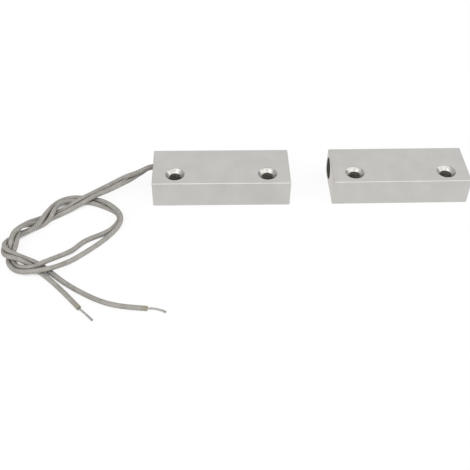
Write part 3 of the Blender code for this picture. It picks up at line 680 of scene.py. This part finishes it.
def grey_pvc():
    """Soft PVC pressed round laid strands: warm grey and half matt, with faint slanting ribs, a tanned cut end and
    painted shade where the wires press on each other.
    """
    material, tree, shader = new_material("soft grey PVC", Roughness=0.45, IOR=1.53)
    uv = add_node(tree, "ShaderNodeUVMap", uv_map="wire").outputs["UV"]
    # The outer strands show through as slanting ribs, 6 mm to the turn and so 1 mm apart along the wire
    turns = 2.0 * math.pi * OUTER_STRANDS
    phase = add_node(
        tree, "ShaderNodeVectorMath", {0: uv, 1: (-turns, turns / RIB_LAY, 0.0)}, operation="DOT_PRODUCT"
    ).outputs["Value"]
    ribs = add_node(tree, "ShaderNodeMath", {0: phase}, operation="SINE").outputs[0]
    place = add_node(tree, "ShaderNodeTexCoord").outputs["Object"]
    scuffs = add_node(
        tree, "ShaderNodeTexNoise", {"Vector": place, "Scale": 1.0 / (2.5 * MM), "Detail": 4.0}
    ).outputs["Fac"]
    mixed = add_node(tree, "ShaderNodeMath", {0: ribs, 1: 0.18, 2: scuffs}, operation="MULTIPLY_ADD").outputs[0]
    tone = add_node(tree, "ShaderNodeValToRGB", {"Fac": mixed})
    tone.color_ramp.elements[0].position = 0.2
    tone.color_ramp.elements[0].color = srgb("8c8882")
    tone.color_ramp.elements[1].position = 0.8
    tone.color_ramp.elements[1].color = srgb("aca8a2")
    back = add_node(tree, "ShaderNodeSeparateXYZ", {"Vector": uv}).outputs["Y"]
    # The knife and the iron tan the last 2 mm
    tanned = add_node(
        tree,
        "ShaderNodeMapRange",
        {"Value": back, "From Min": 0.4 * MM, "From Max": 2.6 * MM, "To Min": 1.0, "To Max": 0.0},
        interpolation_type="SMOOTHSTEP",
    ).outputs["Result"]
    colour = add_node(
        tree, "ShaderNodeMix", {"Factor": tanned, "A": tone.outputs["Color"], "B": srgb("979280")}, data_type="RGBA"
    )
    # Painted shade: the colour darkens towards a dark grey where the wires press on each other or lie close to other
    # surfaces, within 0.8 mm
    open_face = add_node(tree, "ShaderNodeAmbientOcclusion", {"Distance": 0.8 * MM}, samples=8).outputs["AO"]
    outside_painted_shade = add_node(tree, "ShaderNodeMapRange", {"Value": open_face, "From Min": 0.2, "From Max": 0.8}).outputs["Result"]
    colour = add_node(
        tree, "ShaderNodeMix", {"Factor": outside_painted_shade, "A": srgb("5c574f"), "B": colour.outputs["Result"]}, data_type="RGBA"
    )
    tree.links.new(colour.outputs["Result"], shader.inputs["Base Color"])
    # The ribs end before the cut face, which is flat
    relief = add_node(
        tree, "ShaderNodeMapRange", {"Value": back, "From Max": 0.3 * MM, "To Max": 0.5}
    ).outputs["Result"]
    height = add_node(tree, "ShaderNodeMath", {0: ribs, 1: relief}, operation="MULTIPLY").outputs[0]
    normal = add_node(
        tree, "ShaderNodeBump", {"Height": height, "Strength": 1.0, "Distance": 0.03 * MM}
    ).outputs["Normal"]
    tree.links.new(normal, shader.inputs["Normal"])
    return material


def simple(name, colour, size, height, **values):
    """A finish with one colour and a fine relief of a real size."""
    material, tree, shader = new_material(name, **values)
    shader.inputs["Base Color"].default_value = srgb(colour)
    place = add_node(tree, "ShaderNodeTexCoord").outputs["Object"]
    normal, _ = grain_bump(tree, place, size, height)
    tree.links.new(normal, shader.inputs["Normal"])
    return material


def add_floor():
    """A wide white floor that lies evenly white round the object, with a painted shadow in its glow near the object
    and a faint real shadow in the paper mixed in.
    """
    mesh = bpy.data.meshes.new("floor")
    reach = 3.0
    mesh.from_pydata([(-reach, -reach, 0.0), (reach, -reach, 0.0), (reach, reach, 0.0), (-reach, reach, 0.0)], [], [(0, 1, 2, 3)])
    floor = link("floor", mesh)
    material = bpy.data.materials.new("white paper")
    material.use_nodes = True
    tree = material.node_tree
    tree.nodes.clear()
    path = add_node(tree, "ShaderNodeLightPath").outputs
    seen = add_node(tree, "ShaderNodeMath", {0: path["Is Camera Ray"], 1: path["Is Glossy Ray"]}, operation="MAXIMUM").outputs[0]
    seen = add_node(tree, "ShaderNodeMath", {0: seen, 1: path["Is Transmission Ray"]}, operation="MAXIMUM").outputs[0]
    # Painted shadow: the glow is white in the open and fades within 12 mm of the part, darkest in its holes and under
    # it; the paper mixed in takes the lamps' real shadow
    open_sky = add_node(tree, "ShaderNodeAmbientOcclusion", {"Distance": 12.0 * MM}, samples=16).outputs["AO"]
    clear = add_node(
        tree, "ShaderNodeMapRange", {"Value": open_sky, "From Min": 0.03, "From Max": 0.3, "To Max": 1.03}, interpolation_type="SMOOTHSTEP"
    ).outputs["Result"]
    glow = add_node(tree, "ShaderNodeEmission", {"Color": (1.0, 1.0, 1.0, 1.0), "Strength": clear}).outputs[0]
    paper = add_node(tree, "ShaderNodeBsdfDiffuse", {"Color": srgb("f4f4f4")}).outputs[0]
    share = add_node(tree, "ShaderNodeMath", {0: seen, 1: 0.85}, operation="MULTIPLY").outputs[0]
    mixed = add_node(tree, "ShaderNodeMixShader", {0: share, 1: paper, 2: glow}).outputs[0]
    add_node(tree, "ShaderNodeOutputMaterial", {"Surface": mixed})
    mesh.materials.append(material)


def add_world(level):
    """White for the camera, a softer level for matt surfaces, and a dimmer horizon for what the metal mirrors."""
    world = bpy.data.worlds.new("white studio")
    world.use_nodes = True
    tree = world.node_tree
    tree.nodes.clear()
    path = add_node(tree, "ShaderNodeLightPath").outputs
    direction = add_node(tree, "ShaderNodeTexCoord").outputs["Generated"]
    up = add_node(tree, "ShaderNodeSeparateXYZ", {"Vector": direction}).outputs["Z"]
    mirrored = add_node(
        tree, "ShaderNodeMapRange", {"Value": up, "From Min": 0.0, "From Max": 0.5, "To Min": 0.45, "To Max": 1.0}
    ).outputs["Result"]
    strength = add_node(
        tree, "ShaderNodeMapRange", {"Value": path["Is Glossy Ray"], "To Min": level, "To Max": mirrored}
    ).outputs["Result"]
    for kind in ("Is Camera Ray", "Is Transmission Ray"):
        strength = add_node(tree, "ShaderNodeMath", {0: strength, 1: path[kind]}, operation="MAXIMUM").outputs[0]
    sky = add_node(tree, "ShaderNodeBackground", {"Color": (1.0, 1.0, 1.0, 1.0), "Strength": strength}).outputs[0]
    add_node(tree, "ShaderNodeOutputWorld", {"Surface": sky})
    bpy.context.scene.world = world


def add_softbox(name, aim, aside, up, width, height):
    """A soft lamp a metre from the part: aside is the angle from the front, and up the angle above the floor."""
    data = bpy.data.lights.new(name, "AREA")
    data.shape = "RECTANGLE"
    data.size = width
    data.size_y = height
    data.energy = SOFTBOX_BRIGHTNESS * math.pi * width * height
    lamp = bpy.data.objects.new(name, data)
    bpy.context.scene.collection.objects.link(lamp)
    outwards = Vector((math.sin(aside) * math.cos(up), -math.cos(aside) * math.cos(up), math.sin(up)))
    lamp.matrix_world = Matrix.Translation(aim + outwards) @ outwards.to_track_quat("Z", "Y").to_matrix().to_4x4()


add_camera()

insulation = grey_pvc()
tinned = simple("tinned copper strand", "b2b0ac", 0.25 * MM, 0.003 * MM, Metallic=1.0, Roughness=0.38)
strands = strand_tree()
knots = [
    placed(route, before=[(-FIT_GAP, *exit_place)])
    for exit_place, route in ((EXIT_1, WIRE_1_ROUTE), (EXIT_2, WIRE_2_ROUTE))
]
paths = lying_together([spline_through(points, WIRE_RING_STEP) for points in knots], APART_STRETCHES)
for number, (path, bare_route) in enumerate(zip(paths, (BARE_END_1_ROUTE, BARE_END_2_ROUTE)), start=1):
    wire = insulated_wire(f"wire_{number}_insulation", path, insulation)
    bare_knots = placed(bare_route)
    inside = Vector(path[-1]) - Vector(path[-1] - path[-2]).normalized() * 0.08 * MM
    bare_path = spline_through([tuple(inside)] + bare_knots, 0.15 * MM)
    bare = laid_strands(
        f"wire_{number}_strands",
        bare_path,
        strands,
        {"Outer Strands": 6, "Strand Radius": CORE_RADIUS / 3.0, "Lay Length": 9.0 * MM, "Tip Flare": 0.5, "Material": tinned},
    )
    ride_along(wire, "insulation", f"wire_{number}")
    ride_along(bare, "conductor", f"bare_end_{number}")

metals = (
    blasted_aluminium(),
    sawn_aluminium(),
    turned_rings("turned aluminium countersink", ("94928d", "b9b7b3"), 0.2, 0.15 * MM, 0.004 * MM),
    turned_rings("drilled aluminium wall", ("c8c5c0", "d8d5d0"), 0.45, 0.3 * MM, 0.01 * MM),
)
for name, depth, half in (
    ("switch", SWITCH_BORE_DEPTH, SWITCH),
    ("magnet", MAGNET_BORE_DEPTH, MAGNET),
):
    block = housing(name + "_block", depth, half, metals)
    ride_along(block, "housing", name + "_housing")

epoxy = black_epoxy()
ride_along(potting("switch_epoxy", SWITCH, (EXIT_1, EXIT_2), epoxy), "potting", "switch_potting")
ride_along(potting("magnet_epoxy", MAGNET, (), epoxy), "potting", "magnet_potting")

liner = simple("natural nylon tube", "e2ddcc", 0.8 * MM, 0.01 * MM, Roughness=0.5, IOR=1.53)
glass = simple("green sealing glass", "dcefe2", 2.0 * MM, 0.004 * MM, Roughness=0.03, IOR=1.5, Transmission_Weight=0.9)
reeds = simple("plated nickel iron", "c4beb2", 0.1 * MM, 0.002 * MM, Metallic=1.0, Roughness=0.25)
solder = simple("tin solder", "c9cacb", 0.5 * MM, 0.02 * MM, Metallic=1.0, Roughness=0.25)
sleeve = simple("black shrink tube", "262626", 0.4 * MM, 0.01 * MM, Roughness=0.55, IOR=1.5)
lead = simple("soft grey PVC lead", "a5a19a", 0.6 * MM, 0.01 * MM, Roughness=0.45, IOR=1.53)
alloy = simple("cast magnet alloy", "8f8e8b", 0.3 * MM, 0.01 * MM, Metallic=1.0, Roughness=0.5)
for material, names in (
    (liner, ("insulating_liner",)),
    (glass, ("reed_glass",)),
    (reeds, ("reed_near", "reed_far")),
    (solder, ("solder_near", "solder_far")),
    (sleeve, ("sleeve_near", "sleeve_far")),
    (lead, ("inner_lead_1", "inner_lead_2")),
    (tinned, ("inner_core_1", "inner_core_2")),
    (alloy, ("bar_magnet",)),
):
    for name in names:
        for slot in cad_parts[name].material_slots:
            slot.material = material

add_floor()
add_world(0.55)
middle = SWITCH @ Vector((25.0 * MM, -5.0 * MM, 0.0))
for name, aside, up, width, height in (
    ("front softbox", 0.0, 52.0, 1.3, 0.8),
    ("left softbox", -52.0, 40.0, 1.0, 0.7),
    ("right softbox", 80.0, 33.0, 1.2, 0.8),
):
    add_softbox(name, middle, math.radians(aside), math.radians(up), width, height)

bpy.context.scene.view_settings.view_transform = "Standard"
